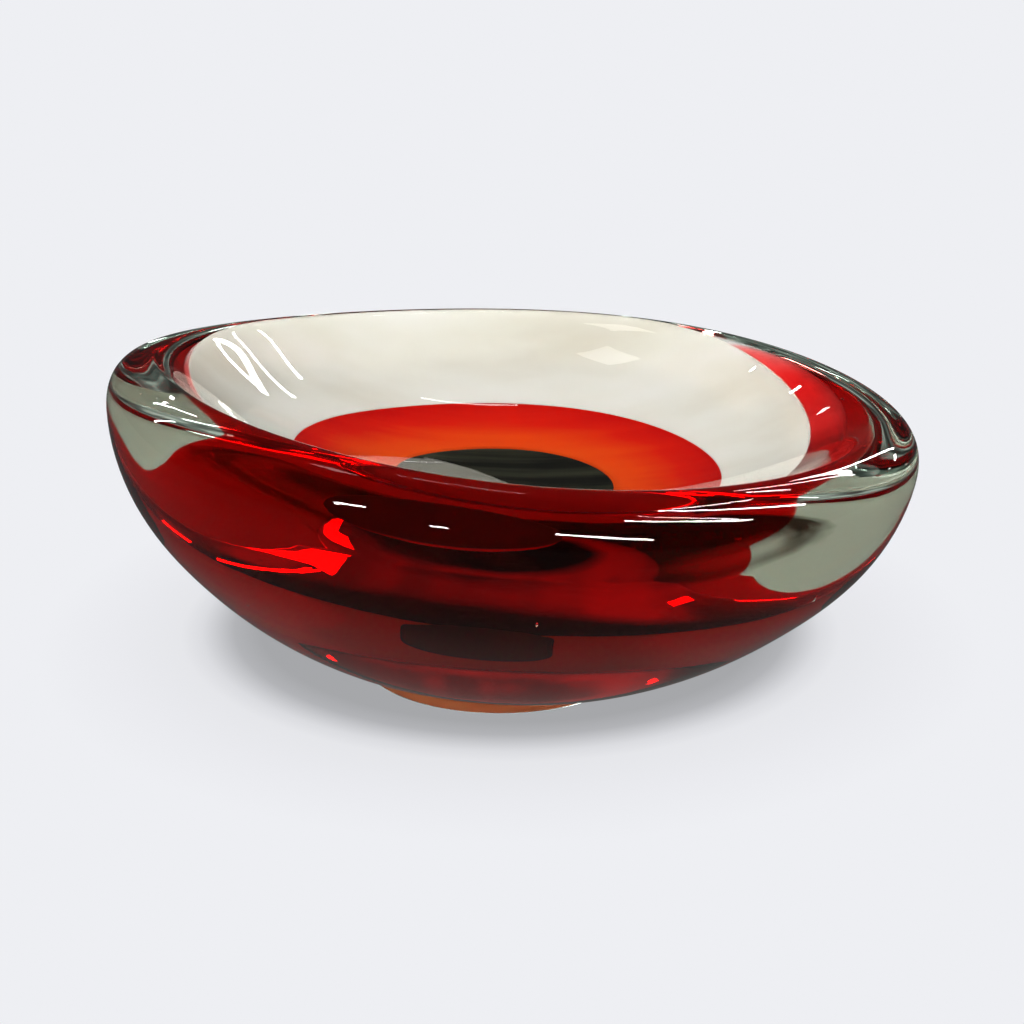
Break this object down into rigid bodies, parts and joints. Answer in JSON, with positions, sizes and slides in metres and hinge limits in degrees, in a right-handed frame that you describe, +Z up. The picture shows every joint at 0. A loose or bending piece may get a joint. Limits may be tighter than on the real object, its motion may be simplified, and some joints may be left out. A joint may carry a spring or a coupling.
{
  "type": "art glass bowl",
  "caption": "Heavy cased-glass bowl with an eye pattern: black pupil, orange iris, white lining, ruby layer and a thick clear casing with a rounded, slightly leaning rim.",
  "frame": {"origin": "centre of the ground foot, on the surface that the bowl stands on", "axes": "+Z up; -Y is the front that faces the viewer; the rim leans up towards -X"},
  "size_m": [0.2397, 0.2401, 0.0964],
  "materials": {
    "clear_glass": "polished",
    "ruby_glass": "polished",
    "white_glass": "polished",
    "orange_glass": "polished",
    "black_glass": "polished"
  },
  "bodies": {
    "root": {"clear_casing": "clear_glass", "ruby_layer": "ruby_glass", "white_lining": "white_glass", "orange_iris": "orange_glass", "black_pupil": "black_glass"}
  },
  "joints": []
}
